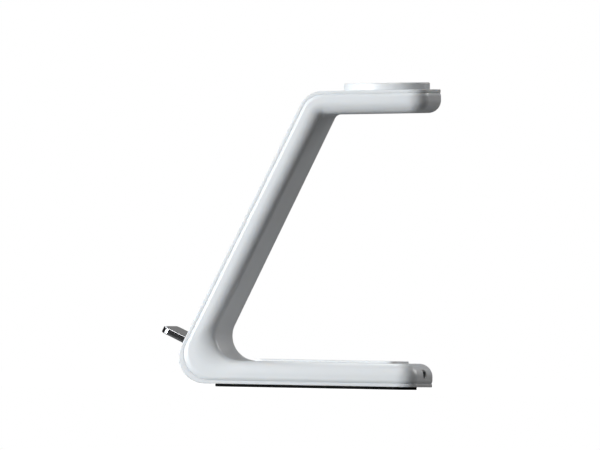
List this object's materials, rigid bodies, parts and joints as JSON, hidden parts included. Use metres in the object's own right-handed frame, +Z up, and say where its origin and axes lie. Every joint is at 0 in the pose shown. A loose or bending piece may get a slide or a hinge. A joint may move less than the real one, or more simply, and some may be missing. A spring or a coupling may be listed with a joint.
{
  "type": "three-in-one wireless charging stand",
  "caption": "White bent-band charging stand: a base with an earbud pad, a slanted phone column with a metal ledge, and an arm with a round watch puck.",
  "frame": {"origin": "middle of the underside of the foot pad, on the surface that the stand rests on", "axes": "+Z up, +Y to the open rear ends of the base and the arm, -Y to the phone's side, +X to the right seen from the front"},
  "size_m": [0.055, 0.1124, 0.1299],
  "materials": {
    "white_plastic": "satin white moulding",
    "soft_white_plastic": "matte white",
    "polished_metal": "polished",
    "black_rubber": "matte black",
    "steel": "plain",
    "copper_wire": "enamelled copper",
    "ferrite": "matte dark grey",
    "green_laminate": "satin green",
    "black_moulding": "matte black",
    "lead_sleeve": "matte black"
  },
  "bodies": {
    "root": {"outer_cover": "white_plastic", "rear_housing": "white_plastic", "watch_puck_housing": "white_plastic", "watch_puck_face": "soft_white_plastic", "earbud_pad": "soft_white_plastic", "phone_ledge": "polished_metal", "foot_pad": "black_rubber", "watch_magnet": "steel", "usb_c_shell": "steel", "ledge_screw_left": "steel", "ledge_screw_right": "steel", "board_screw_left": "steel", "board_screw_right": "steel", "case_screw_front_left": "steel", "case_screw_front_right": "steel", "case_screw_rear_left": "steel", "case_screw_rear_right": "steel", "watch_coil": "copper_wire", "phone_coil_lower": "copper_wire", "phone_coil_upper": "copper_wire", "earbud_coil": "copper_wire", "watch_ferrite": "ferrite", "phone_ferrite_lower": "ferrite", "phone_ferrite_upper": "ferrite", "earbud_ferrite": "ferrite", "main_circuit_board": "green_laminate", "usb_c_tongue": "black_moulding", "charge_controller_chip": "black_moulding", "power_inductor": "black_moulding", "filter_capacitor": "black_moulding", "phone_leads": "lead_sleeve", "watch_leads": "lead_sleeve", "earbud_leads": "lead_sleeve"}
  },
  "joints": []
}
